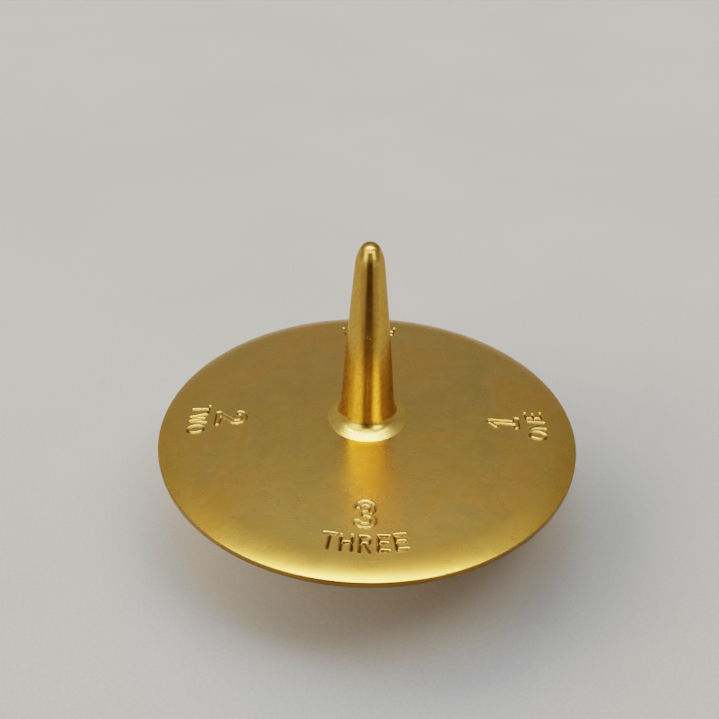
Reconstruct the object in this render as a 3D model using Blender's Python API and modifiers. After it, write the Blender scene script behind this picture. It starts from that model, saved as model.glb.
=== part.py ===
"""Disc-shaped finger top: a domed flywheel disc clamped between a tapered grip and a pointed foot.

Units are metres and +Z is up. The origin is the middle of the small flat at the spinning point, and
the Z axis is the axis that the top spins about. Every piece is turned, so each is a half profile
swept once around Z; a profile runs down the outer side of its piece, from the top to the bottom.
"""
import math

import bpy

MM = 0.001

# Driving dimensions.
DISC_RADIUS = 45.0 * MM
CROWN_HEIGHT = 17.7 * MM
TOP_HEIGHT = 59.9 * MM
FIT_GAP = 0.3 * MM

# Flywheel disc: a shallow dome that rolls down towards a thin rounded rim, flat underneath.
DOME_RADIUS = 39.5 * MM
DOME_DROP = 1.9 * MM
ROLL_END_SLOPE = math.radians(24.0)
RIM_THICKNESS = 1.5 * MM
RIM_TOP_ROUND = 0.3 * MM
RIM_UNDER_ROUND = 0.5 * MM
SEAT_RADIUS = 8.9 * MM
SEAT_DEPTH = 0.5 * MM

# Finger grip: a round nose on a short cone, a soft shoulder, a long taper, and a fillet into a
# shallow conical collar.
COLLAR_RADIUS = 8.6 * MM
COLLAR_EDGE = 0.15 * MM
COLLAR_SLOPE = math.radians(30.0)
FILLET_RADIUS = 3.0 * MM
WAIST_RADIUS = 5.75 * MM
SHOULDER_RADIUS = 2.95 * MM
SHOULDER_ROUND = 8.0 * MM
NOSE_ROUND = 2.2 * MM
NOSE_CONE = math.radians(22.0)
GRIP_BULGE = 0.14 * MM

# Spinning foot: a coved flange that tapers to the point.
FOOT_RADIUS = 8.5 * MM
FOOT_EDGE = 0.5 * MM
FOOT_COVE_RADIUS = 3.0 * MM
POINT_ROUND = 1.8 * MM
POINT_FLAT_RADIUS = 0.5 * MM

# Clamp stud: an M4 stud screwed into the grip and the foot, through the disc's bore.
STUD_RADIUS = 2.0 * MM
STUD_CHAMFER = 0.4 * MM
GRIP_HOLE_DEPTH = 9.0 * MM
FOOT_HOLE_DEPTH = 6.0 * MM
BORE_RADIUS = STUD_RADIUS + FIT_GAP

# Facets around the axis, and points along each rounded stretch.
DISC_STEPS = 96
SPINDLE_STEPS = 48
STUD_STEPS = 24
MERGE_DISTANCE = 0.01 * MM

# Heights that follow from the driving dimensions.
SEAT_HEIGHT = CROWN_HEIGHT - SEAT_DEPTH
GRIP_BASE = SEAT_HEIGHT + FIT_GAP


def arc(centre_r, centre_z, radius, start, end, count):
    """Points on a circle in the profile plane; angles in radians, 0 outwards and a quarter turn up."""
    points = []
    for index in range(count + 1):
        angle = start + (end - start) * index / count
        points.append((centre_r + radius * math.cos(angle), centre_z + radius * math.sin(angle)))
    return points


def dome_arc_radius():
    """Radius of the circle through the crown and the edge of the dome."""
    return (DOME_RADIUS ** 2 + DOME_DROP ** 2) / (2 * DOME_DROP)


def dome_height(radius):
    """Height of the domed top above the table at a distance from the axis."""
    sphere = dome_arc_radius()
    return CROWN_HEIGHT - sphere + math.sqrt(sphere ** 2 - radius ** 2)


def rim_points():
    """The roll from the dome's edge down to the rim, and around the rim to the underside."""
    upright = math.radians(90)
    dome_slope = math.asin(DOME_RADIUS / dome_arc_radius())
    round_inset = RIM_TOP_ROUND * (1 - math.sin(ROLL_END_SLOPE))
    roll_run = DISC_RADIUS - round_inset - DOME_RADIUS
    roll_radius = roll_run / (math.sin(ROLL_END_SLOPE) - math.sin(dome_slope))
    roll_centre_r = DOME_RADIUS - roll_radius * math.sin(dome_slope)
    roll_centre_z = dome_height(DOME_RADIUS) - roll_radius * math.cos(dome_slope)
    roll = arc(roll_centre_r, roll_centre_z, roll_radius, upright - dome_slope, upright - ROLL_END_SLOPE, 6)
    round_z = roll[-1][1] - RIM_TOP_ROUND * math.cos(ROLL_END_SLOPE)
    top_round = arc(DISC_RADIUS - RIM_TOP_ROUND, round_z, RIM_TOP_ROUND, upright - ROLL_END_SLOPE, 0.0, 4)
    underside = roll[-1][1] - RIM_THICKNESS
    under_centre_r = DISC_RADIUS - RIM_UNDER_ROUND
    under_round = arc(under_centre_r, underside + RIM_UNDER_ROUND, RIM_UNDER_ROUND, 0.0, -upright, 3)
    return roll + top_round[1:] + under_round


UNDERSIDE = rim_points()[-1][1]


def disc_profile():
    """Closed outline of the disc's half section, with the bore on its inner side."""
    dome_steps = 8
    points = [(BORE_RADIUS, SEAT_HEIGHT), (SEAT_RADIUS, SEAT_HEIGHT)]
    for index in range(dome_steps):
        radius = SEAT_RADIUS + (DOME_RADIUS - SEAT_RADIUS) * index / dome_steps
        points.append((radius, dome_height(radius)))
    points += rim_points()
    points.append((BORE_RADIUS, UNDERSIDE))
    return points


def grip_profile():
    """Half section of the grip, from the tip down to the collar and up its blind hole."""
    rise = COLLAR_EDGE + FILLET_RADIUS * math.cos(COLLAR_SLOPE)
    taper = math.atan((WAIST_RADIUS - SHOULDER_RADIUS) / (TOP_HEIGHT - GRIP_BASE - 2 * rise))
    fillet_end = WAIST_RADIUS + FILLET_RADIUS * (math.cos(taper) - math.sin(COLLAR_SLOPE))
    collar_top = GRIP_BASE + COLLAR_EDGE + (COLLAR_RADIUS - fillet_end) * math.tan(COLLAR_SLOPE)
    waist_z = collar_top + FILLET_RADIUS * (math.cos(COLLAR_SLOPE) - math.sin(taper))

    points = arc(0.0, TOP_HEIGHT - NOSE_ROUND, NOSE_ROUND, math.radians(90), NOSE_CONE, 7)
    nose_r, nose_z = points[-1]
    shoulder_centre_r = SHOULDER_RADIUS - SHOULDER_ROUND * math.cos(taper)
    cone_run = shoulder_centre_r + SHOULDER_ROUND * math.cos(NOSE_CONE) - nose_r
    cone_end_z = nose_z - cone_run / math.tan(NOSE_CONE)
    shoulder_centre_z = cone_end_z - SHOULDER_ROUND * math.sin(NOSE_CONE)
    points += arc(shoulder_centre_r, shoulder_centre_z, SHOULDER_ROUND, NOSE_CONE, taper, 3)
    shoulder_z = points[-1][1]
    taper_steps = 6
    for index in range(1, taper_steps):
        part = index / taper_steps
        bulge = GRIP_BULGE * math.sin(math.pi * part)
        points.append((SHOULDER_RADIUS + (WAIST_RADIUS - SHOULDER_RADIUS) * part + bulge,
                       shoulder_z + (waist_z - shoulder_z) * part))
    fillet_r = WAIST_RADIUS + FILLET_RADIUS * math.cos(taper)
    fillet_z = waist_z + FILLET_RADIUS * math.sin(taper)
    fillet_start = math.radians(180) + taper
    fillet_stop = math.radians(270) - COLLAR_SLOPE
    points += arc(fillet_r, fillet_z, FILLET_RADIUS, fillet_start, fillet_stop, 6)
    points.append((COLLAR_RADIUS, GRIP_BASE + COLLAR_EDGE))
    points.append((COLLAR_RADIUS, GRIP_BASE))
    points.append((BORE_RADIUS, GRIP_BASE))
    points.append((BORE_RADIUS, GRIP_BASE + GRIP_HOLE_DEPTH))
    points.append((0.0, GRIP_BASE + GRIP_HOLE_DEPTH))
    return points


def foot_profile():
    """Half section of the foot: blind hole, flange, cove, taper and the rounded spinning point."""
    top = UNDERSIDE - FIT_GAP
    cove_start = top - FOOT_EDGE
    neck_z = cove_start - FOOT_COVE_RADIUS
    neck_r = FOOT_RADIUS - FOOT_COVE_RADIUS
    flat_angle = math.acos(POINT_FLAT_RADIUS / POINT_ROUND)
    point_centre = POINT_ROUND * math.sin(flat_angle)
    taper = math.atan((neck_r - POINT_ROUND) / (neck_z - point_centre))
    points = [(0.0, top - FOOT_HOLE_DEPTH), (BORE_RADIUS, top - FOOT_HOLE_DEPTH)]
    points.append((BORE_RADIUS, top))
    points.append((FOOT_RADIUS, top))
    points += arc(FOOT_RADIUS, neck_z, FOOT_COVE_RADIUS, math.radians(90), math.radians(180), 6)
    points += arc(0.0, point_centre, POINT_ROUND, -taper, -flat_angle, 6)
    points.append((0.0, 0.0))
    return points


def stud_profile():
    """Half section of the stud, a plain rod at the thread's outer size with chamfered ends."""
    top = GRIP_BASE + GRIP_HOLE_DEPTH - FIT_GAP
    bottom = UNDERSIDE - FOOT_HOLE_DEPTH
    return [
        (0.0, top),
        (STUD_RADIUS - STUD_CHAMFER, top),
        (STUD_RADIUS, top - STUD_CHAMFER),
        (STUD_RADIUS, bottom + STUD_CHAMFER),
        (STUD_RADIUS - STUD_CHAMFER, bottom),
        (0.0, bottom),
    ]


def metal(name, colour, roughness):
    """A plain metal material."""
    material = bpy.data.materials.new(name)
    material.use_nodes = True
    shader = material.node_tree.nodes["Principled BSDF"]
    shader.inputs["Base Color"].default_value = (*colour, 1.0)
    shader.inputs["Metallic"].default_value = 1.0
    shader.inputs["Roughness"].default_value = roughness
    return material


def turned(name, profile, steps, material, collection, parent, closed=False):
    """An object swept once around Z from a half profile; a closed one never meets the axis."""
    vertices = [(radius, 0.0, height) for radius, height in profile]
    edges = [(index, index + 1) for index in range(len(vertices) - 1)]
    if closed:
        edges.append((len(vertices) - 1, 0))
    mesh = bpy.data.meshes.new(name)
    mesh.from_pydata(vertices, edges, [])
    piece = bpy.data.objects.new(name, mesh)
    collection.objects.link(piece)
    piece.parent = parent
    mesh.materials.append(material)
    screw = piece.modifiers.new("Turn", "SCREW")
    screw.axis = "Z"
    screw.angle = math.tau
    screw.steps = steps
    screw.render_steps = steps
    screw.use_merge_vertices = True
    screw.merge_threshold = MERGE_DISTANCE
    screw.use_smooth_shade = True
    return piece


def build():
    """Clear the scene and make the four pieces of the top."""
    for old in list(bpy.data.objects):
        bpy.data.objects.remove(old, do_unlink=True)
    collection = bpy.data.collections.new("spinning_top")
    bpy.context.scene.collection.children.link(collection)
    axis = bpy.data.objects.new("spin_axis", None)
    collection.objects.link(axis)

    satin_brass = metal("satin_brass", (0.60, 0.42, 0.14), 0.32)
    polished_brass = metal("polished_brass", (0.72, 0.50, 0.16), 0.22)
    foot_brass = metal("foot_brass", (0.62, 0.43, 0.15), 0.30)
    steel = metal("stud_steel", (0.55, 0.55, 0.56), 0.35)

    turned("flywheel_disc", disc_profile(), DISC_STEPS, satin_brass, collection, axis, closed=True)
    turned("finger_grip", grip_profile(), SPINDLE_STEPS, polished_brass, collection, axis)
    turned("spinning_foot", foot_profile(), SPINDLE_STEPS, foot_brass, collection, axis)
    turned("clamp_stud", stud_profile(), STUD_STEPS, steel, collection, axis)


build()
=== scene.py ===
import math

import bpy
import numpy as np
from mathutils import Matrix, Vector


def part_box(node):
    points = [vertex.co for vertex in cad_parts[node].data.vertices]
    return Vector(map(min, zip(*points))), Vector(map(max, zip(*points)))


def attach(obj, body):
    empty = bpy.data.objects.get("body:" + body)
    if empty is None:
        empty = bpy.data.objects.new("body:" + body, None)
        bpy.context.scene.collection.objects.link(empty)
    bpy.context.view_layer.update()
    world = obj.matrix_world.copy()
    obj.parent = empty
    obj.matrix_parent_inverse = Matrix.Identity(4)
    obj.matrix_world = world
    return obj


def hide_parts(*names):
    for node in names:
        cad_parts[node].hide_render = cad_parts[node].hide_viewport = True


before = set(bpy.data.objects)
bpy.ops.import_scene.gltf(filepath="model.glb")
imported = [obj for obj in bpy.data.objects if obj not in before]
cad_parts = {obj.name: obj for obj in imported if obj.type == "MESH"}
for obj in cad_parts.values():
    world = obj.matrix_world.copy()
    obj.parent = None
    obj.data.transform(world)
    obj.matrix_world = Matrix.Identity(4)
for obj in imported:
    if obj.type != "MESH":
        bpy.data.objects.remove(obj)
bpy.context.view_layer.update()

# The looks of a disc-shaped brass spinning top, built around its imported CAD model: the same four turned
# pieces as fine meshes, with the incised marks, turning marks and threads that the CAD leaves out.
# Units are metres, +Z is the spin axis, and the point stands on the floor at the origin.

MM = 0.001

# Places and sizes that come from the frame.
DISC_LOW, DISC_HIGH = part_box("flywheel_disc")
GRIP_LOW, GRIP_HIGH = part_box("finger_grip")
_, FOOT_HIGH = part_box("spinning_foot")
STUD_LOW, STUD_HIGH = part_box("clamp_stud")
DISC_RADIUS = DISC_HIGH[0]
COLLAR_RADIUS = GRIP_HIGH[0]
FOOT_RADIUS = FOOT_HIGH[0]
STUD_RADIUS = STUD_HIGH[0]
UNDERSIDE = DISC_LOW[2]
GRIP_BASE = GRIP_LOW[2]
GRIP_TOP = GRIP_HIGH[2]
FOOT_TOP = FOOT_HIGH[2]

# The disc's half section, as in the CAD.
CROWN_HEIGHT = 17.7 * MM
DOME_RADIUS = 39.5 * MM
DOME_DROP = 1.9 * MM
ROLL_END_SLOPE = math.radians(24.0)
RIM_THICKNESS = 1.5 * MM
RIM_TOP_ROUND = 0.3 * MM
RIM_UNDER_ROUND = 0.5 * MM
SEAT_CLEARANCE = 0.02 * MM
BORE_RADIUS = 2.3 * MM

# The disc's rings lie close together between these shares of its radius, where the marks are.
FINE_RINGS = (0.575, 0.885)
RING_SPACING = 0.1 * MM

# The grip's and the foot's half sections.
COLLAR_EDGE = 0.15 * MM
COLLAR_SLOPE = math.radians(30.0)
FILLET_RADIUS = 3.0 * MM
WAIST_RADIUS = 5.75 * MM
SHOULDER_RADIUS = 2.95 * MM
SHOULDER_ROUND = 8.0 * MM
NOSE_ROUND = 2.2 * MM
NOSE_CONE = math.radians(22.0)
GRIP_BULGE = 0.14 * MM
TOOL_MARK = 0.010 * MM
TOOL_PITCH = 0.50 * MM
GRIP_HOLE_DEPTH = 9.0 * MM
FOOT_EDGE = 0.5 * MM
FOOT_COVE_RADIUS = 3.0 * MM
POINT_ROUND = 1.8 * MM
POINT_FLAT_RADIUS = 0.5 * MM
FOOT_HOLE_DEPTH = 6.0 * MM

# The stud's thread, which has the pitch of M4.
THREAD_PITCH = 0.7 * MM
THREAD_DEPTH = 0.4 * MM
THREAD_CHAMFER = 0.5 * MM
RINGS_PER_TURN = 10

# Points around each turned piece. The disc has fine steps near its marks and dents.
GRIP_STEPS = 128
FOOT_STEPS = 96
STUD_STEPS = 64
FINE_STEP = math.radians(0.15)
COARSE_STEP = math.radians(1.5)
SHARP_EDGE = math.radians(62.0)

# The incised marks: a numeral cut as an outline, and its name in single strokes nearer the rim.
# Baselines and the zone that holds all the marks are shares of the disc's radius. Each stroke is
# given by half its width.
MARK_ZONE = (0.57, 0.90)
WORD_BASELINE = 0.855
WORD_HEIGHT = 3.5 * MM
WORD_SPACING = 3.55 * MM
WORD_CURVE = 0.55
LETTER_WIDTH = 0.92
WORD_STROKE = 0.40 * MM
WORD_DEPTH = 0.42 * MM
NUMERAL_BASELINE = 0.720
NUMERAL_HEIGHT = 5.8 * MM
NUMERAL_OUTLINE = 0.55 * MM
NUMERAL_STROKE = 0.28 * MM
NUMERAL_DEPTH = 0.30 * MM
GROOVE_POWER = 1.15
LIP_HEIGHT = 0.03 * MM
LIP_PLACE = 1.35
LIP_SPREAD = 0.4
LETTER_TILT = math.radians(4.0)
LETTER_LIFT = 0.15 * MM
MARK_SEED = 11

# Small dents in the rim, as (bearing in degrees from +X, depth, half width).
RIM_DENTS = [(207.5, 0.16 * MM, 0.22 * MM),
             (255.4, 0.05 * MM, 0.25 * MM),
             (258.1, 0.08 * MM, 0.22 * MM),
             (290.0, 0.08 * MM, 0.22 * MM),
             (292.3, 0.05 * MM, 0.30 * MM),
             (38.0, 0.10 * MM, 0.40 * MM),
             (121.0, 0.12 * MM, 0.35 * MM)]

# The studio that the brass reflects, as brightness by direction. The walls fade from left to right and
# are brighter between two heights of the direction's Z, where they meet the ceiling.
WALL_LEFT = 0.34
WALL_RIGHT = 0.26
WALL_BLEND = 0.7
UPPER_WALL = 0.24
UPPER_WALL_START = 0.69
UPPER_WALL_END = 0.84

# The ceiling panel is an ellipse around a direction. Its core and edge are shares of its reach.
CEILING_BRIGHTNESS = 10.4
CEILING_CENTRE = (-0.07, -0.12)
CEILING_REACH = (0.64, 0.15)
CEILING_EDGE = 1.5
CEILING_CORE = 0.7
CEILING_FALLOFF = 2.0

# Soft windows to the left and right of the camera, above it and behind it, as (azimuth, elevation,
# edge, core, brightness), with the angles in degrees.
WINDOWS = [(228.0, 26.0, 28.0, 12.0, 2.2),
           (308.0, 26.0, 17.0, 7.0, 4.7),
           (270.0, 60.0, 24.0, 8.0, 1.6),
           (270.0, 32.0, 15.0, 6.0, 5.0)]

# Cards that only the brass shows: a dark one for someone who stands in front of the top, and sheets on
# the floor in front that are painted shade for the shadow that person casts there, as (name, width,
# depth, colour, place of the middle, tilt).
REFLECTED_CARDS = [
    ("standing_card", 0.100, 0.12, (0.030, 0.024, 0.012), (0.0, -0.125, 0.060), math.pi / 2),
    ("near_card", 0.080, 0.20, (0.030, 0.022, 0.010), (0.0, -0.165, 0.0015), 0.0),
    ("side_card", 0.130, 0.20, (0.150, 0.130, 0.100), (0.0, -0.165, 0.0010), 0.0),
    ("wide_card", 0.400, 0.20, (0.260, 0.260, 0.250), (0.0, -0.165, 0.0005), 0.0),
]

# The soft lights on the floor, as (azimuth, elevation, spread, strength, tint), with the angles in
# degrees. Most are warm and low, behind and to the left, one high up behind is blue, and one high up
# on the right is nearly white.
FLOOR_LIGHTS = [(135.0, 25.0, 40.0, 2.15, (1.00, 0.93, 0.79)),
                (90.0, 25.0, 40.0, 1.55, (1.00, 0.78, 0.37)),
                (180.0, 25.0, 40.0, 0.95, (1.00, 0.85, 0.73)),
                (180.0, 12.0, 22.0, 1.10, (1.00, 0.93, 0.65)),
                (210.0, 12.0, 22.0, 1.10, (1.00, 0.82, 0.68)),
                (95.0, 55.0, 40.0, 1.00, (0.36, 0.65, 1.00)),
                (25.0, 50.0, 40.0, 0.96, (1.00, 0.96, 0.90))]
FLOOR_SIZE = 20.0

# The camera, with its distance and aim in disc radii.
CAMERA_DISTANCE = 4.842
CAMERA_ELEVATION = math.radians(38.46)
CAMERA_AIM = (-0.047, 0.587)
CAMERA_ROLL = math.radians(0.72)
CAMERA_LENS = 49.88


# ---------------------------------------------------------------- outlines

def arc(centre_r, centre_z, radius, start, end, count):
    """Points on a circle; angles in radians, 0 outwards and a quarter turn up."""
    angles = np.linspace(start, end, count + 1)
    return [(centre_r + radius * math.cos(a), centre_z + radius * math.sin(a)) for a in angles]


def line(start, end, count):
    """Points after start, up to and including end."""
    steps = np.arange(1, count + 1) / count
    return [(start[0] + (end[0] - start[0]) * s, start[1] + (end[1] - start[1]) * s) for s in steps]


def dome_arc_radius():
    """Radius of the circle through the crown and the dome's edge."""
    return (DOME_RADIUS ** 2 + DOME_DROP ** 2) / (2 * DOME_DROP)


def dome_height(radius):
    """Height of the domed top at a distance from the axis."""
    sphere = dome_arc_radius()
    return CROWN_HEIGHT - sphere + math.sqrt(sphere ** 2 - radius ** 2)


def disc_profile():
    """Closed outline of the disc's half section, finely divided where the marks are."""
    upright = math.pi / 2
    mark_start, mark_end = (share * DISC_RADIUS for share in FINE_RINGS)
    seat_radius = COLLAR_RADIUS + SEAT_CLEARANCE
    seat_height = GRIP_BASE - SEAT_CLEARANCE
    radii = list(np.linspace(seat_radius, mark_start, 24))
    radii += list(np.arange(mark_start, mark_end, RING_SPACING)[1:])
    points = [(BORE_RADIUS, seat_height)]
    points += line(points[-1], (seat_radius, seat_height), 4)
    points += [(r, dome_height(r)) for r in radii if r < DOME_RADIUS - RING_SPACING / 2]

    dome_slope = math.asin(DOME_RADIUS / dome_arc_radius())
    round_inset = RIM_TOP_ROUND * (1 - math.sin(ROLL_END_SLOPE))
    roll_run = DISC_RADIUS - round_inset - DOME_RADIUS
    roll_radius = roll_run / (math.sin(ROLL_END_SLOPE) - math.sin(dome_slope))
    roll_centre_r = DOME_RADIUS - roll_radius * math.sin(dome_slope)
    roll_centre_z = dome_height(DOME_RADIUS) - roll_radius * math.cos(dome_slope)
    roll_end = upright - ROLL_END_SLOPE
    roll = arc(roll_centre_r, roll_centre_z, roll_radius, upright - dome_slope, roll_end, 36)
    round_z = roll[-1][1] - RIM_TOP_ROUND * math.cos(ROLL_END_SLOPE)
    points += roll
    points += arc(DISC_RADIUS - RIM_TOP_ROUND, round_z, RIM_TOP_ROUND, roll_end, 0.0, 8)[1:]
    under_z = UNDERSIDE + RIM_UNDER_ROUND
    points += arc(DISC_RADIUS - RIM_UNDER_ROUND, under_z, RIM_UNDER_ROUND, 0.0, -upright, 6)
    points += line(points[-1], (BORE_RADIUS, UNDERSIDE), 24)
    return points


def grip_profile():
    """Half section of the grip, from the tip down, with fine tool marks on the collar."""
    rise = COLLAR_EDGE + FILLET_RADIUS * math.cos(COLLAR_SLOPE)
    taper = math.atan((WAIST_RADIUS - SHOULDER_RADIUS) / (GRIP_TOP - GRIP_BASE - 2 * rise))
    fillet_end = WAIST_RADIUS + FILLET_RADIUS * (math.cos(taper) - math.sin(COLLAR_SLOPE))
    collar_top = GRIP_BASE + COLLAR_EDGE + (COLLAR_RADIUS - fillet_end) * math.tan(COLLAR_SLOPE)
    waist_z = collar_top + FILLET_RADIUS * (math.cos(COLLAR_SLOPE) - math.sin(taper))

    points = arc(0.0, GRIP_TOP - NOSE_ROUND, NOSE_ROUND, math.pi / 2, NOSE_CONE, 24)
    nose_r, nose_z = points[-1]
    shoulder_centre_r = SHOULDER_RADIUS - SHOULDER_ROUND * math.cos(taper)
    cone_run = shoulder_centre_r + SHOULDER_ROUND * math.cos(NOSE_CONE) - nose_r
    cone_end = (nose_r + cone_run, nose_z - cone_run / math.tan(NOSE_CONE))
    points += line(points[-1], cone_end, 4)
    shoulder_centre_z = cone_end[1] - SHOULDER_ROUND * math.sin(NOSE_CONE)
    points += arc(shoulder_centre_r, shoulder_centre_z, SHOULDER_ROUND, NOSE_CONE, taper, 10)[1:]
    shoulder_z = points[-1][1]
    for part in np.linspace(0.0, 1.0, 60)[1:-1]:
        bulge = GRIP_BULGE * math.sin(math.pi * part)
        points.append((SHOULDER_RADIUS + (WAIST_RADIUS - SHOULDER_RADIUS) * part + bulge,
                       shoulder_z + (waist_z - shoulder_z) * part))
    fillet_r = WAIST_RADIUS + FILLET_RADIUS * math.cos(taper)
    fillet_z = waist_z + FILLET_RADIUS * math.sin(taper)
    points += arc(fillet_r, fillet_z, FILLET_RADIUS, math.pi + taper, 1.5 * math.pi - COLLAR_SLOPE, 24)
    for r, z in line(points[-1], (COLLAR_RADIUS, GRIP_BASE + COLLAR_EDGE), 60):
        points.append((r, z + TOOL_MARK * math.sin(math.tau * (COLLAR_RADIUS - r) / TOOL_PITCH)))
    points += line(points[-1], (COLLAR_RADIUS, GRIP_BASE), 2)
    points += line(points[-1], (BORE_RADIUS, GRIP_BASE), 4)
    points += line(points[-1], (BORE_RADIUS, GRIP_BASE + GRIP_HOLE_DEPTH), 6)
    points.append((0.0, GRIP_BASE + GRIP_HOLE_DEPTH))
    return points


def foot_profile():
    """Half section of the foot: blind hole, flange, cove, taper and the rounded point."""
    neck_z = FOOT_TOP - FOOT_EDGE - FOOT_COVE_RADIUS
    neck_r = FOOT_RADIUS - FOOT_COVE_RADIUS
    flat_angle = math.acos(POINT_FLAT_RADIUS / POINT_ROUND)
    point_centre = POINT_ROUND * math.sin(flat_angle)
    taper = math.atan((neck_r - POINT_ROUND) / (neck_z - point_centre))
    hole_end = FOOT_TOP - FOOT_HOLE_DEPTH
    points = [(0.0, hole_end), (BORE_RADIUS, hole_end)]
    points += line(points[-1], (BORE_RADIUS, FOOT_TOP), 6)
    points += line(points[-1], (FOOT_RADIUS, FOOT_TOP), 6)
    points += arc(FOOT_RADIUS, neck_z, FOOT_COVE_RADIUS, math.pi / 2, math.pi, 24)
    nose = arc(0.0, point_centre, POINT_ROUND, -taper, -flat_angle, 16)
    points += line(points[-1], nose[0], 24)
    points += nose[1:]
    points.append((0.0, 0.0))
    return points


# ---------------------------------------------------------------- turned meshes

def turned_mesh(name, profile, angles, closed=False, shape=None):
    """A closed mesh of the profile at each angle; shape may move its (ring, angle, xyz) points."""
    profile = np.array(profile)
    on_axis = profile[:, 0] < 1e-9
    rings = profile[~on_axis]
    grid = np.empty((len(rings), len(angles), 3))
    grid[:, :, 0] = rings[:, :1] * np.cos(angles)
    grid[:, :, 1] = rings[:, :1] * np.sin(angles)
    grid[:, :, 2] = rings[:, 1:]
    if shape:
        shape(grid)
    columns = len(angles)
    here = np.arange(columns)
    after = np.roll(here, -1)
    faces = []
    last = len(rings) if closed else len(rings) - 1
    for ring in range(last):
        low = ring * columns
        high = ((ring + 1) % len(rings)) * columns
        faces += np.stack([low + here, high + here, high + after, low + after], axis=1).tolist()
    vertices = grid.reshape(-1, 3).tolist()
    if not closed:
        top_pole = len(vertices)
        vertices.append((0.0, 0.0, profile[0, 1]))
        vertices.append((0.0, 0.0, profile[-1, 1]))
        final = (len(rings) - 1) * columns
        faces += [(top_pole, int(a), int(b)) for a, b in zip(here, after)]
        faces += [(top_pole + 1, int(final + b), int(final + a)) for a, b in zip(here, after)]
    mesh = bpy.data.meshes.new(name)
    mesh.from_pydata(vertices, [], faces)
    mesh.shade_smooth()
    mesh.set_sharp_from_angle(angle=SHARP_EDGE)
    mesh.validate()
    return mesh


def even_angles(count):
    return np.arange(count) * math.tau / count


def piece(name, mesh, node, material):
    """An object for the mesh, which rides on the top's one body and stands for its CAD node."""
    obj = bpy.data.objects.new(name, mesh)
    bpy.context.scene.collection.objects.link(obj)
    mesh.materials.append(material)
    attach(obj, "root")
    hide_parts(node)
    return obj


# ---------------------------------------------------------------- marks

def bend(cx, cy, rx, ry, start, end, steps=10):
    """Points on an ellipse, with angles in degrees."""
    angles = np.radians(np.linspace(start, end, steps + 1))
    return [(cx + rx * math.cos(a), cy + ry * math.sin(a)) for a in angles]


# Each letter and numeral is drawn one unit high: its width, then its strokes.
LETTERS = {
    "E": (0.60, [[(0.6, 1), (0, 1), (0, 0), (0.6, 0)], [(0, 0.52), (0.5, 0.52)]]),
    "F": (0.60, [[(0.6, 1), (0, 1), (0, 0)], [(0, 0.5), (0.48, 0.5)]]),
    "H": (0.66, [[(0, 0), (0, 1)], [(0.66, 0), (0.66, 1)], [(0, 0.5), (0.66, 0.5)]]),
    "N": (0.66, [[(0, 0), (0, 1), (0.66, 0), (0.66, 1)]]),
    "O": (0.74, [bend(0.37, 0.5, 0.37, 0.5, 0, 360, 20)]),
    "R": (0.62, [[(0, 0), (0, 1)] + bend(0.34, 0.76, 0.24, 0.24, 90, -90) + [(0, 0.52)],
                 [(0.3, 0.52), (0.62, 0)]]),
    "T": (0.70, [[(0, 1), (0.7, 1)], [(0.35, 1), (0.35, 0)]]),
    "U": (0.66, [[(0, 1)] + bend(0.33, 0.33, 0.33, 0.33, 180, 360) + [(0.66, 1)]]),
    "W": (0.92, [[(0, 1), (0.23, 0), (0.46, 0.85), (0.69, 0), (0.92, 1)]]),
    "1": (0.50, [[(0.05, 0.78), (0.28, 1), (0.28, 0)], [(0.05, 0), (0.5, 0)]]),
    "2": (0.56, [bend(0.28, 0.72, 0.27, 0.28, 165, -35) + [(0.0, 0.0), (0.58, 0)]]),
    "3": (0.56, [bend(0.27, 0.76, 0.25, 0.24, 155, -90), bend(0.27, 0.26, 0.29, 0.26, 90, -155)]),
    "4": (0.60, [[(0.44, 0), (0.44, 1), (0, 0.3), (0.62, 0.3)]]),
}

# The direction each group faces, in degrees from +X, then its numeral and word.
MARKS = [(-90.0, "3", "THREE"), (180.0, "2", "TWO"), (0.0, "1", "ONE"), (90.0, "4", "FOUR")]


def stroke_distance(u, v, strokes):
    """Distance from each point (u, v) to the nearest stroke."""
    nearest = np.full(u.shape, np.inf)
    for stroke in strokes:
        for (ax, ay), (bx, by) in zip(stroke, stroke[1:]):
            dx, dy = bx - ax, by - ay
            along = np.clip(((u - ax) * dx + (v - ay) * dy) / (dx * dx + dy * dy), 0.0, 1.0)
            nearest = np.minimum(nearest, np.hypot(u - ax - along * dx, v - ay - along * dy))
    return nearest


def groove(distance, half_width, depth):
    """Change of height across a punched groove: a soft V with a low raised lip just outside it."""
    away = distance / half_width
    cut = depth * np.clip(1.0 - away, 0.0, 1.0) ** GROOVE_POWER
    lip = LIP_HEIGHT * np.exp(-((away - LIP_PLACE) / LIP_SPREAD) ** 2)
    return lip - cut


def cut_character(height, u, v, character, tall, wide, half_width, depth, outline=0.0):
    """Add a character's grooves to the heights; an outline is cut at that distance from its strokes."""
    middle = LETTERS[character][0] / 2
    near = (np.abs(u) < 1.2 * tall) & (v > -tall) & (v < 2.0 * tall)
    strokes = [[((x - middle) * wide, y * tall) for x, y in s] for s in LETTERS[character][1]]
    distance = np.abs(stroke_distance(u[near], v[near], strokes) - outline)
    height[near] += groove(distance, half_width, depth)


def character_frame(x, y, facing, baseline, turn=0.0):
    """Coordinates across and up a character that stands on the baseline circle at this bearing."""
    out_x, out_y = math.cos(facing), math.sin(facing)
    across = x * -out_y + y * out_x
    outward = x * out_x + y * out_y
    up = baseline - outward
    return across * math.cos(turn) + up * math.sin(turn), up * math.cos(turn) - across * math.sin(turn)


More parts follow.
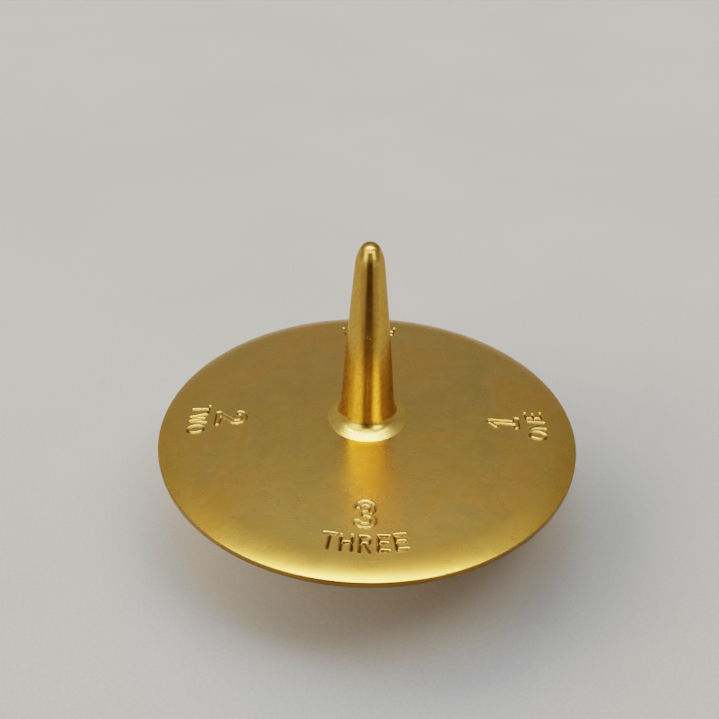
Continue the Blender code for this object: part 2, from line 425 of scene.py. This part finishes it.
def mark_heights(x, y):
    """Change of height of the disc's top at each point (x, y), from all its marks."""
    height = np.zeros(x.shape)
    rng = np.random.default_rng(MARK_SEED)
    baseline = WORD_BASELINE * DISC_RADIUS
    letter_wide = LETTER_WIDTH * WORD_HEIGHT
    for bearing, numeral, word in MARKS:
        facing = math.radians(bearing)
        for index, letter in enumerate(word):
            place = (index - (len(word) - 1) / 2) * WORD_SPACING
            tilt = rng.uniform(-LETTER_TILT, LETTER_TILT)
            lift = rng.uniform(-LETTER_LIFT, LETTER_LIFT)
            follow = WORD_CURVE * place
            u, v = character_frame(x, y, facing + follow / baseline, baseline + lift, tilt)
            cut_character(height, u - (place - follow), v, letter, WORD_HEIGHT, letter_wide,
                          WORD_STROKE, WORD_DEPTH)
        u, v = character_frame(x, y, facing, NUMERAL_BASELINE * DISC_RADIUS)
        cut_character(height, u, v, numeral, NUMERAL_HEIGHT, NUMERAL_HEIGHT,
                      NUMERAL_STROKE, NUMERAL_DEPTH, NUMERAL_OUTLINE)
    return height


def angle_from(angle, bearing):
    """Signed turn from a bearing in degrees to an angle in radians, at most half a turn either way."""
    return (angle - math.radians(bearing) + math.pi) % math.tau - math.pi


def disc_angles():
    """Angles around the disc, close together where the marks and the dents are."""
    fine_zones = []
    for bearing, _numeral, word in MARKS:
        reach = (len(word) / 2 + 0.6) * WORD_SPACING / (WORD_BASELINE * DISC_RADIUS) + 0.02
        fine_zones.append((bearing, reach))
    for bearing, _depth, half_width in RIM_DENTS:
        fine_zones.append((bearing, 3.0 * half_width / DISC_RADIUS + FINE_STEP))
    angles = []
    angle = 0.0
    while angle < math.tau - 0.5 * FINE_STEP:
        angles.append(angle)
        is_fine = any(abs(angle_from(angle, bearing)) < reach for bearing, reach in fine_zones)
        angle += FINE_STEP if is_fine else COARSE_STEP
    return np.array(angles)


def rim_dents(angles):
    """How far the rim is pushed in at each angle."""
    total = np.zeros(len(angles))
    for bearing, depth, half_width in RIM_DENTS:
        total += depth * np.exp(-(angle_from(angles, bearing) * DISC_RADIUS / half_width) ** 2)
    return total


def disc_mesh():
    """The disc, with its marks cut into the top, a few dents in its rim and each mark's depth stored."""
    profile = disc_profile()
    radii = np.array([r for r, _z in profile])
    heights = np.array([z for _r, z in profile])
    zone_start, zone_end = (share * DISC_RADIUS for share in MARK_ZONE)
    top = (radii > zone_start) & (radii < zone_end) & (heights > UNDERSIDE + 1.0 * MM)
    rim = radii > DISC_RADIUS - RIM_UNDER_ROUND
    angles = disc_angles()
    depth = np.zeros((len(profile), len(angles)))

    def shape_disc(grid):
        change = mark_heights(grid[top, :, 0], grid[top, :, 1])
        grid[top, :, 2] += change
        depth[top, :] = np.clip(-change / WORD_DEPTH, 0.0, 1.0)
        grid[rim, :, :2] *= 1.0 - rim_dents(angles)[None, :, None] / DISC_RADIUS

    mesh = turned_mesh("flywheel_disc_fine", profile, angles, closed=True, shape=shape_disc)
    mesh.attributes.new("mark_depth", "FLOAT", "POINT").data.foreach_set("value", depth.ravel())
    return mesh


def stud_mesh():
    """A threaded stud with chamfered ends."""
    low, high = STUD_LOW[2], STUD_HIGH[2]
    levels = np.arange(low, high + 0.01 * MM, THREAD_PITCH / RINGS_PER_TURN)
    profile = [(0.0, high)] + [(STUD_RADIUS, z) for z in levels[::-1]] + [(0.0, low)]

    def cut_thread(grid):
        z = grid[:, :, 2]
        turn = np.arctan2(grid[:, :, 1], grid[:, :, 0]) / math.tau
        phase = (z / THREAD_PITCH - turn) % 1.0
        depth = THREAD_DEPTH * np.clip(2.4 * np.abs(phase - 0.5) - 0.1, 0.0, 1.0)
        end = np.minimum(z - levels[0], levels[-1] - z)
        chamfered = STUD_RADIUS - THREAD_CHAMFER + np.clip(end, 0.0, None)
        radius = np.minimum(STUD_RADIUS - depth, chamfered)
        grid[:, :, :2] *= (radius / STUD_RADIUS)[:, :, None]

    return turned_mesh("clamp_stud_fine", profile, even_angles(STUD_STEPS), shape=cut_thread)


# ---------------------------------------------------------------- materials

def add_node(tree, kind, **settings):
    """A shader node; settings are its properties, or its input sockets by name with _ for a space."""
    node = tree.nodes.new(kind)
    for key, value in settings.items():
        if hasattr(node, key):
            setattr(node, key, value)
        else:
            node.inputs[key.replace("_", " ")].default_value = value
    return node


def noise(tree, vector, scale, detail=2.0, roughness=0.5, distortion=0.0):
    """A noise value between 0 and 1 over the given coordinates."""
    node = add_node(tree, "ShaderNodeTexNoise", Scale=scale, Detail=detail, Roughness=roughness,
                    Distortion=distortion)
    tree.links.new(vector, node.inputs["Vector"])
    return node.outputs["Fac"]


def remap(tree, value, from_low, from_high, to_low, to_high):
    """A value moved from one range to another, and kept inside it."""
    node = add_node(tree, "ShaderNodeMapRange")
    tree.links.new(value, node.inputs["Value"])
    node.inputs["From Min"].default_value = from_low
    node.inputs["From Max"].default_value = from_high
    node.inputs["To Min"].default_value = to_low
    node.inputs["To Max"].default_value = to_high
    return node.outputs["Result"]


def combine(tree, operation, first, second):
    """A math node on two values, each a socket or a number."""
    node = add_node(tree, "ShaderNodeMath", operation=operation)
    for index, value in enumerate((first, second)):
        if isinstance(value, (int, float)):
            node.inputs[index].default_value = value
        else:
            tree.links.new(value, node.inputs[index])
    return node.outputs[0]


def ramp(tree, value, stops):
    """A colour looked up from stops of (place, colour)."""
    node = add_node(tree, "ShaderNodeValToRGB")
    elements = node.color_ramp.elements
    while len(elements) < len(stops):
        elements.new(0.5)
    for element, (place, colour) in zip(elements, stops):
        element.position = place
        element.color = (*colour, 1.0)
    tree.links.new(value, node.inputs["Fac"])
    return node.outputs["Color"]


def mix_colour(tree, factor, first, second):
    """Two colour sockets blended by a factor socket."""
    node = add_node(tree, "ShaderNodeMix", data_type="RGBA")
    tree.links.new(factor, node.inputs["Factor"])
    colour_inputs = [socket for socket in node.inputs if socket.type == "RGBA"]
    tree.links.new(first, colour_inputs[0])
    tree.links.new(second, colour_inputs[1])
    return [socket for socket in node.outputs if socket.type == "RGBA"][0]


def stretched(tree, vector, turn, scale):
    """Coordinates turned about Z and scaled differently along each axis."""
    node = add_node(tree, "ShaderNodeMapping")
    node.inputs["Rotation"].default_value = (0.0, 0.0, turn)
    node.inputs["Scale"].default_value = scale
    tree.links.new(vector, node.inputs["Vector"])
    return node.outputs["Vector"]


def scratches(tree, vector, turns):
    """Fine straight scratches in several directions, 0 on clean metal and up to 1 on a scratch."""
    total = None
    for turn in turns:
        lines = noise(tree, stretched(tree, vector, turn, (60.0, 2600.0, 60.0)), 1.0, 1.0)
        patches = noise(tree, stretched(tree, vector, turn * 1.7, (70.0, 110.0, 70.0)), 1.0, 2.0)
        mask = combine(tree, "MULTIPLY", remap(tree, lines, 0.66, 0.74, 0.0, 1.0),
                       remap(tree, patches, 0.5, 0.62, 0.0, 1.0))
        total = mask if total is None else combine(tree, "MAXIMUM", total, mask)
    return total


def bump(tree, height, strength, distance):
    """A normal bent by a height socket."""
    node = add_node(tree, "ShaderNodeBump", Strength=strength, Distance=distance)
    tree.links.new(height, node.inputs["Height"])
    return node.outputs["Normal"]


def new_material(name):
    """An empty node material with a metallic shader, its tree and its object coordinates."""
    material = bpy.data.materials.new(name)
    material.use_nodes = True
    tree = material.node_tree
    shader = tree.nodes["Principled BSDF"]
    shader.inputs["Metallic"].default_value = 1.0
    place = tree.nodes.new("ShaderNodeTexCoord").outputs["Object"]
    return material, tree, shader, place


def satin_brass():
    """The disc: satin brass with faint olive and orange tarnish, a fine grain and light scratches. A band
    near the rim is darker and more orange, partly wear and partly a tint that colours the ceiling's
    highlight there (painted highlight colour). The rim's very edge is painted dark brown as a painted
    reflection of the shaded floor, and the marks are dark inside, partly grime and partly painted shade."""
    material, tree, shader, place = new_material("satin_brass")
    broad = noise(tree, place, 55.0, 4.0, 0.6, 0.8)
    tone = ramp(tree, broad, [(0.36, (0.595, 0.385, 0.110)), (0.5, (0.66, 0.405, 0.114)),
                              (0.64, (0.72, 0.390, 0.098))])
    radius = add_node(tree, "ShaderNodeVectorMath", operation="LENGTH")
    tree.links.new(stretched(tree, place, 0.0, (1.0, 1.0, 0.0)), radius.inputs[0])
    reach = radius.outputs["Value"]
    # edge is a band near the rim, tinted darker and more orange by worn below: partly wear, partly a tint
    # that colours the ceiling's highlight falling there (painted highlight colour).
    edge = remap(tree, reach, 0.80 * DISC_RADIUS, 0.96 * DISC_RADIUS, 0.0, 1.0)
    # lip masks the rim's very edge, which is painted dark brown below: a painted reflection of the shaded
    # floor in front.
    lip = remap(tree, reach, DISC_RADIUS - 0.22 * MM, DISC_RADIUS - 0.06 * MM, 0.0, 0.9)
    worn = ramp(tree, broad, [(0.36, (0.64, 0.375, 0.078)), (0.64, (0.71, 0.370, 0.070))])
    spots = remap(tree, noise(tree, place, 170.0, 4.0, 0.6, 0.4), 0.50, 0.66, 0.0, 0.4)
    stain = ramp(tree, broad, [(0.3, (0.50, 0.33, 0.08)), (0.7, (0.58, 0.30, 0.055))])
    surface = mix_colour(tree, spots, mix_colour(tree, edge, tone, worn), stain)
    marks = scratches(tree, place, (0.3, 1.25, 2.2, 2.9))
    scored = ramp(tree, broad, [(0.3, (0.36, 0.22, 0.06)), (0.7, (0.42, 0.24, 0.06))])
    surface = mix_colour(tree, combine(tree, "MULTIPLY", marks, 0.45), surface, scored)
    # Painted reflection of the shaded floor: dark brown on the rim's edge.
    painted_rim_edge_shade = ramp(tree, broad, [(0.3, (0.26, 0.14, 0.03)), (0.7, (0.36, 0.20, 0.045))])
    surface = mix_colour(tree, lip, surface, painted_rim_edge_shade)
    # The marks are painted dark inside by their depth: partly grime, partly painted shade in the grooves.
    cut = add_node(tree, "ShaderNodeAttribute", attribute_name="mark_depth").outputs["Fac"]
    groove_dirt_and_shade = ramp(tree, broad, [(0.3, (0.17, 0.085, 0.02)), (0.7, (0.24, 0.12, 0.025))])
    groove_dirt_and_shade_mask = remap(tree, cut, 0.25, 0.8, 0.0, 0.85)
    tree.links.new(mix_colour(tree, groove_dirt_and_shade_mask, surface, groove_dirt_and_shade), shader.inputs["Base Color"])

    grain = noise(tree, place, 2800.0, 3.0, 0.7)
    cloud = noise(tree, place, 170.0, 3.0, 0.6)
    rough = remap(tree, cloud, 0.3, 0.7, 0.25, 0.31)
    rough = combine(tree, "ADD", rough, combine(tree, "MULTIPLY", marks, 0.06))
    tree.links.new(rough, shader.inputs["Roughness"])
    height = combine(tree, "SUBTRACT", combine(tree, "MULTIPLY", grain, 0.6), marks)
    tree.links.new(bump(tree, height, 0.20, 0.02 * MM), shader.inputs["Normal"])
    return material


def polished_brass():
    """The grip: smoother, warmer brass with faint lines around it and a few dark pits. It is darker
    towards the tip, partly tarnish from handling and partly painted shade for the dark floor it reflects,
    and it is painted darker on the right as painted shade. Its collar is paler, partly the tool's cut and
    partly a painted highlight."""
    material, tree, shader, place = new_material("polished_brass")
    split = tree.nodes.new("ShaderNodeSeparateXYZ")
    tree.links.new(place, split.inputs["Vector"])
    height = split.outputs["Z"]
    cut_face = remap(tree, height, GRIP_BASE + 1.3 * MM, GRIP_BASE + 2.2 * MM, 1.0, 0.0)

    broad = noise(tree, place, 120.0, 3.0, 0.6, 0.3)
    clean = ramp(tree, broad, [(0.3, (0.73, 0.435, 0.09)), (0.7, (0.79, 0.47, 0.10))])
    handling_tarnish_and_shade = ramp(tree, broad, [(0.3, (0.58, 0.33, 0.08)), (0.7, (0.66, 0.375, 0.09))])
    # Darker towards the tip: partly tarnish from handling, partly painted shade for the dark floor the
    # grip reflects.
    toward_tip = remap(tree, height, GRIP_TOP - 28.0 * MM, GRIP_TOP - 14.0 * MM, 0.0, 1.0)
    pits = remap(tree, noise(tree, place, 1300.0, 3.0, 0.7), 0.50, 0.62, 0.0, 0.62)
    pit_dirt_and_shade = ramp(tree, broad, [(0.3, (0.36, 0.19, 0.040)), (0.7, (0.46, 0.25, 0.055))])
    handle = mix_colour(tree, pits, mix_colour(tree, toward_tip, clean, handling_tarnish_and_shade), pit_dirt_and_shade)
    # The right side is painted darker: painted shade, away from the light on the left.
    painted_shade_right = remap(tree, split.outputs["X"], 2.0 * MM, 5.0 * MM, 0.0, 0.55)
    handle = mix_colour(tree, painted_shade_right, handle, pit_dirt_and_shade)
    # The collar is paler: partly the tool's cut, partly a painted highlight from the ceiling it reflects.
    cut_brass_and_highlight = ramp(tree, broad, [(0.3, (0.765, 0.470, 0.120)), (0.7, (0.825, 0.510, 0.135))])
    tree.links.new(mix_colour(tree, cut_face, handle, cut_brass_and_highlight), shader.inputs["Base Color"])

    rings = noise(tree, stretched(tree, place, 0.0, (40.0, 40.0, 5000.0)), 1.0, 2.0)
    grain = noise(tree, place, 2600.0, 3.0, 0.7)
    rough = remap(tree, noise(tree, place, 260.0, 3.0, 0.6), 0.3, 0.7, 0.21, 0.28)
    rough = combine(tree, "ADD", rough, combine(tree, "MULTIPLY", cut_face, 0.03))
    tree.links.new(rough, shader.inputs["Roughness"])
    shader.inputs["Specular Tint"].default_value = (0.9, 0.8, 0.6, 1.0)
    texture = combine(tree, "ADD", combine(tree, "MULTIPLY", rings, 0.4),
                      combine(tree, "MULTIPLY", grain, 0.6))
    tree.links.new(bump(tree, texture, 0.22, 0.02 * MM), shader.inputs["Normal"])
    return material


def foot_brass():
    """The foot: turned brass, a little duller towards the point where it rubs."""
    material, tree, shader, place = new_material("foot_brass")
    split = tree.nodes.new("ShaderNodeSeparateXYZ")
    tree.links.new(place, split.inputs["Vector"])
    worn = remap(tree, split.outputs["Z"], 0.4 * MM, 2.2 * MM, 1.0, 0.0)
    broad = noise(tree, place, 140.0, 3.0, 0.6, 0.3)
    clean = ramp(tree, broad, [(0.3, (0.66, 0.43, 0.11)), (0.7, (0.72, 0.47, 0.12))])
    rubbed = ramp(tree, broad, [(0.3, (0.74, 0.56, 0.25)), (0.7, (0.62, 0.46, 0.2))])
    tree.links.new(mix_colour(tree, worn, clean, rubbed), shader.inputs["Base Color"])
    rings = noise(tree, stretched(tree, place, 0.0, (50.0, 50.0, 4200.0)), 1.0, 2.0)
    rough = remap(tree, worn, 0.0, 1.0, 0.26, 0.4)
    tree.links.new(rough, shader.inputs["Roughness"])
    tree.links.new(bump(tree, rings, 0.15, 0.02 * MM), shader.inputs["Normal"])
    return material


def stud_steel():
    """The stud: plain bright steel with a faint oily unevenness."""
    material, tree, shader, place = new_material("stud_steel")
    broad = noise(tree, place, 300.0, 3.0, 0.6)
    tree.links.new(ramp(tree, broad, [(0.3, (0.48, 0.48, 0.50)), (0.7, (0.60, 0.60, 0.61))]),
                   shader.inputs["Base Color"])
    tree.links.new(remap(tree, broad, 0.3, 0.7, 0.28, 0.4), shader.inputs["Roughness"])
    return material


def paper():
    """The floor: pale warm-grey paper with a faint tooth."""
    material, tree, shader, place = new_material("floor_paper")
    shader.inputs["Metallic"].default_value = 0.0
    shader.inputs["Roughness"].default_value = 0.9
    shader.inputs["Specular IOR Level"].default_value = 0.0
    fibre = noise(tree, place, 900.0, 4.0, 0.7)
    broad = noise(tree, place, 9.0, 3.0, 0.6)
    smooth = ramp(tree, broad, [(0.3, (0.60, 0.60, 0.60)), (0.7, (0.64, 0.64, 0.64))])
    rough = ramp(tree, broad, [(0.3, (0.54, 0.54, 0.54)), (0.7, (0.58, 0.58, 0.57))])
    speckle = remap(tree, noise(tree, place, 1500.0, 3.0, 0.7), 0.35, 0.65, 0.0, 1.0)
    tree.links.new(mix_colour(tree, speckle, smooth, rough), shader.inputs["Base Color"])
    tree.links.new(bump(tree, fibre, 0.12, 0.05 * MM), shader.inputs["Normal"])
    return material


def card_paint(name, colour):
    """Matt paint of one colour."""
    material, _tree, shader, _place = new_material(name)
    shader.inputs["Metallic"].default_value = 0.0
    shader.inputs["Base Color"].default_value = (*colour, 1.0)
    shader.inputs["Roughness"].default_value = 0.8
    return material


# ---------------------------------------------------------------- stage, lights and camera

def flat_card(name, width, depth, material, location, tilt=0.0):
    """A flat stage card, width by depth, that isn't part of the top."""
    mesh = bpy.data.meshes.new(name)
    x, y = width / 2, depth / 2
    mesh.from_pydata([(-x, -y, 0), (x, -y, 0), (x, y, 0), (-x, y, 0)], [], [(0, 1, 2, 3)])
    card = bpy.data.objects.new(name, mesh)
    bpy.context.scene.collection.objects.link(card)
    card.location = location
    card.rotation_euler = (tilt, 0.0, 0.0)
    mesh.materials.append(material)
    return card


def reflected_card(name, width, depth, colour, location, tilt):
    """A card that the camera and the floor don't see, only the brass."""
    card = flat_card(name, width, depth, card_paint(name, colour), location, tilt)
    card.visible_camera = False
    card.visible_diffuse = False
    card.visible_shadow = False


def direction_to(azimuth, elevation):
    """Unit vector towards a place in the surround, from its angles in degrees."""
    turn, rise = math.radians(azimuth), math.radians(elevation)
    return Vector((math.cos(turn) * math.cos(rise), math.sin(turn) * math.cos(rise), math.sin(rise)))


def floor_light(azimuth, elevation, spread, strength, tint):
    """A broad soft light that shapes the shadow on the floor; the brass shows only the surround."""
    light = bpy.data.lights.new("floor_light", "SUN")
    light.angle = math.radians(spread)
    light.energy = strength
    light.color = tint
    lamp = bpy.data.objects.new(light.name, light)
    lamp.rotation_euler = direction_to(azimuth, elevation).to_track_quat("Z", "Y").to_euler()
    lamp.visible_glossy = False
    bpy.context.scene.collection.objects.link(lamp)


def set_world():
    """The surround that the brass reflects: plain walls, a ceiling panel and soft windows. The floor
    is lit by its own lights instead, so the surround is hidden from it."""
    world = bpy.data.worlds.new("surround")
    world.use_nodes = True
    world.cycles_visibility.diffuse = False
    tree = world.node_tree
    direction = tree.nodes.new("ShaderNodeTexCoord").outputs["Generated"]
    split = tree.nodes.new("ShaderNodeSeparateXYZ")
    tree.links.new(direction, split.inputs["Vector"])
    walls = remap(tree, split.outputs["X"], -WALL_BLEND, WALL_BLEND, WALL_LEFT, WALL_RIGHT)
    upper = remap(tree, split.outputs["Z"], UPPER_WALL_START, UPPER_WALL_END, 0.0, UPPER_WALL)
    total = combine(tree, "ADD", walls, upper)

    (centre_x, centre_y), (reach_x, reach_y) = CEILING_CENTRE, CEILING_REACH
    shift = add_node(tree, "ShaderNodeMapping")
    shift.inputs["Location"].default_value = (-centre_x / reach_x, -centre_y / reach_y, 0.0)
    shift.inputs["Scale"].default_value = (1 / reach_x, 1 / reach_y, 0.0)
    tree.links.new(direction, shift.inputs["Vector"])
    away = add_node(tree, "ShaderNodeVectorMath", operation="LENGTH")
    tree.links.new(shift.outputs["Vector"], away.inputs[0])
    inside = remap(tree, away.outputs["Value"], CEILING_EDGE, CEILING_CORE, 0.0, 1.0)
    ceiling = combine(tree, "POWER", inside, CEILING_FALLOFF)
    total = combine(tree, "ADD", total, combine(tree, "MULTIPLY", ceiling, CEILING_BRIGHTNESS))

    for azimuth, elevation, edge, core, brightness in WINDOWS:
        toward = add_node(tree, "ShaderNodeVectorMath", operation="DOT_PRODUCT")
        tree.links.new(direction, toward.inputs[0])
        toward.inputs[1].default_value = direction_to(azimuth, elevation)
        edge_cosine, core_cosine = math.cos(math.radians(edge)), math.cos(math.radians(core))
        window = remap(tree, toward.outputs["Value"], edge_cosine, core_cosine, 0.0, brightness)
        total = combine(tree, "ADD", total, window)
    background = tree.nodes["Background"]
    background.inputs["Color"].default_value = (1.0, 1.0, 1.0, 1.0)
    tree.links.new(total, background.inputs["Strength"])
    bpy.context.scene.world = world


def set_camera():
    """A close camera that looks down on the disc from the front."""
    distance = CAMERA_DISTANCE * DISC_RADIUS
    rim_height = UNDERSIDE + RIM_THICKNESS
    eye = Vector((0.0, -distance * math.cos(CAMERA_ELEVATION),
                  rim_height + distance * math.sin(CAMERA_ELEVATION)))
    aim = Vector((CAMERA_AIM[0] * DISC_RADIUS, CAMERA_AIM[1] * DISC_RADIUS, rim_height))
    data = bpy.data.cameras.new("camera")
    data.sensor_width = 36.0
    data.lens = CAMERA_LENS
    camera = bpy.data.objects.new("camera", data)
    turn = (aim - eye).to_track_quat("-Z", "Y").to_matrix().to_4x4()
    camera.matrix_world = Matrix.Translation(eye) @ turn @ Matrix.Rotation(CAMERA_ROLL, 4, "Z")
    bpy.context.scene.collection.objects.link(camera)
    bpy.context.scene.camera = camera


# ---------------------------------------------------------------- the scene

set_camera()
flat_card("floor", FLOOR_SIZE, FLOOR_SIZE, paper(), (0.0, 0.0, 0.0))
set_world()
for settings in FLOOR_LIGHTS:
    floor_light(*settings)
for settings in REFLECTED_CARDS:
    reflected_card(*settings)

piece("disc", disc_mesh(), "flywheel_disc", satin_brass())
piece("grip", turned_mesh("finger_grip_fine", grip_profile(), even_angles(GRIP_STEPS)),
      "finger_grip", polished_brass())
piece("foot", turned_mesh("spinning_foot_fine", foot_profile(), even_angles(FOOT_STEPS)),
      "spinning_foot", foot_brass())
piece("stud", stud_mesh(), "clamp_stud", stud_steel())

bpy.context.scene.view_settings.view_transform = "Filmic"
bpy.context.scene.view_settings.look = "Medium High Contrast"
